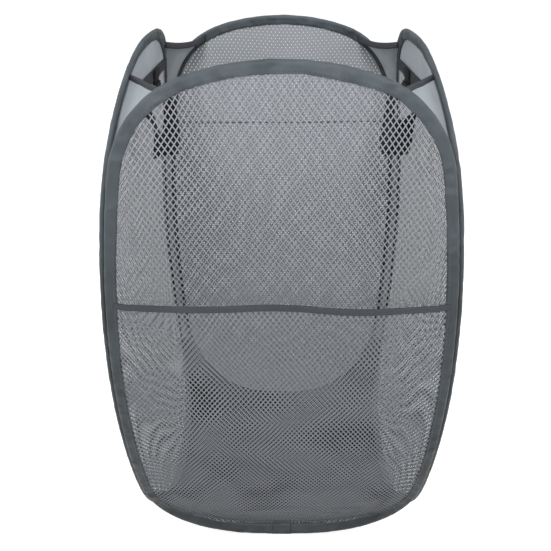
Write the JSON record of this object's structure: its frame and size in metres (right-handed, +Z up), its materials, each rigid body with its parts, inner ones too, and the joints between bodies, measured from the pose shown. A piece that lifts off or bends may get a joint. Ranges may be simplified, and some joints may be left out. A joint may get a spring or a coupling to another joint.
{
  "type": "pop-up laundry hamper",
  "caption": "Open-topped pop-up laundry hamper: mesh panels on bowed sprung hoops bound in tape, a mesh front pocket, a cloth base and webbing handles that hang inside the sides",
  "frame": {"origin": "under the middle of the base, on the floor", "axes": "+Z up, the pocket faces -Y, the right-hand panel is at +X"},
  "size_m": [0.356, 0.3624, 0.61],
  "materials": {
    "mesh_cloth": "open polyester net, light neutral grey",
    "binding_tape": "satin woven binding, slate grey",
    "plain_cloth": "plain woven nylon, light blue-grey",
    "seam_tape": "ribbed seam tape, purple-grey",
    "base_cloth": "plain woven nylon, dark slate",
    "webbing": "woven webbing, black",
    "spring_steel": "flat spring-steel wire and crimped sleeve"
  },
  "bodies": {
    "front": {"front_wire": "spring_steel", "front_sleeve": "spring_steel", "front_binding": "binding_tape", "front_mesh": "mesh_cloth", "pocket_mesh": "mesh_cloth", "pocket_hem": "seam_tape", "base_panel": "base_cloth", "front_left_base_corner": "base_cloth", "front_left_seam_tape": "seam_tape", "front_left_gusset": "plain_cloth", "front_left_gusset_hem": "seam_tape", "front_right_base_corner": "base_cloth", "front_right_seam_tape": "seam_tape", "front_right_gusset": "plain_cloth", "front_right_gusset_hem": "seam_tape"},
    "right": {"right_wire": "spring_steel", "right_sleeve": "spring_steel", "right_binding": "binding_tape", "right_mesh": "mesh_cloth", "right_top_patch": "plain_cloth", "right_patch_tape": "seam_tape", "right_handle_front_tab": "webbing", "right_handle_rear_tab": "webbing", "back_right_base_corner": "base_cloth", "back_right_seam_tape": "seam_tape", "back_right_gusset": "plain_cloth", "back_right_gusset_hem": "seam_tape"},
    "left": {"left_wire": "spring_steel", "left_sleeve": "spring_steel", "left_binding": "binding_tape", "left_mesh": "mesh_cloth", "left_top_patch": "plain_cloth", "left_patch_tape": "seam_tape", "left_handle_front_tab": "webbing", "left_handle_rear_tab": "webbing"},
    "back": {"back_wire": "spring_steel", "back_sleeve": "spring_steel", "back_binding": "binding_tape", "back_mesh": "mesh_cloth"},
    "back_left_seam": {"back_left_base_corner": "base_cloth", "back_left_seam_tape": "seam_tape", "back_left_gusset": "plain_cloth", "back_left_gusset_hem": "seam_tape"},
    "right_handle": {"right_handle": "webbing"},
    "left_handle": {"left_handle": "webbing"}
  },
  "joints": [
    {"name": "fold", "type": "hinge", "parent": "front", "child": "right", "pos_m": [0.152, -0.152, 0], "axis": [0, 0, 1], "range_deg": [0, 45], "stiffness_Nm_per_rad": 0.3, "deforming": ["base_panel", "front_left_base_corner", "front_left_seam_tape", "front_left_gusset", "front_left_gusset_hem", "front_right_base_corner", "front_right_seam_tape", "front_right_gusset", "front_right_gusset_hem", "back_left_base_corner", "back_left_seam_tape", "back_left_gusset", "back_left_gusset_hem", "back_right_base_corner", "back_right_seam_tape", "back_right_gusset", "back_right_gusset_hem"]},
    {"name": "left_fold", "type": "hinge", "parent": "front", "child": "left", "pos_m": [-0.181, -0.181, 0], "axis": [0, 0, 1], "range_deg": [0, 45]},
    {"name": "back_fold", "type": "hinge", "parent": "right", "child": "back", "pos_m": [0.181, 0.181, 0], "axis": [0, 0, 1], "range_deg": [-45, 0]},
    {"name": "back_left_fold", "type": "hinge", "parent": "left", "child": "back_left_seam", "pos_m": [-0.152, 0.152, 0], "axis": [0, 0, 1], "range_deg": [-45, 0]},
    {"name": "right_handle_swing", "type": "hinge", "parent": "right", "child": "right_handle", "pos_m": [0.13978, 0, 0.551], "axis": [0, 1, 0], "range_deg": [0, 130]},
    {"name": "left_handle_swing", "type": "hinge", "parent": "left", "child": "left_handle", "pos_m": [-0.13978, 0, 0.551], "axis": [0, -1, 0], "range_deg": [0, 130]}
  ],
  "couplings": [
    {"joint": "left_fold", "follows": "fold", "ratio": 1},
    {"joint": "back_fold", "follows": "fold", "ratio": -1},
    {"joint": "back_left_fold", "follows": "fold", "ratio": -1}
  ]
}
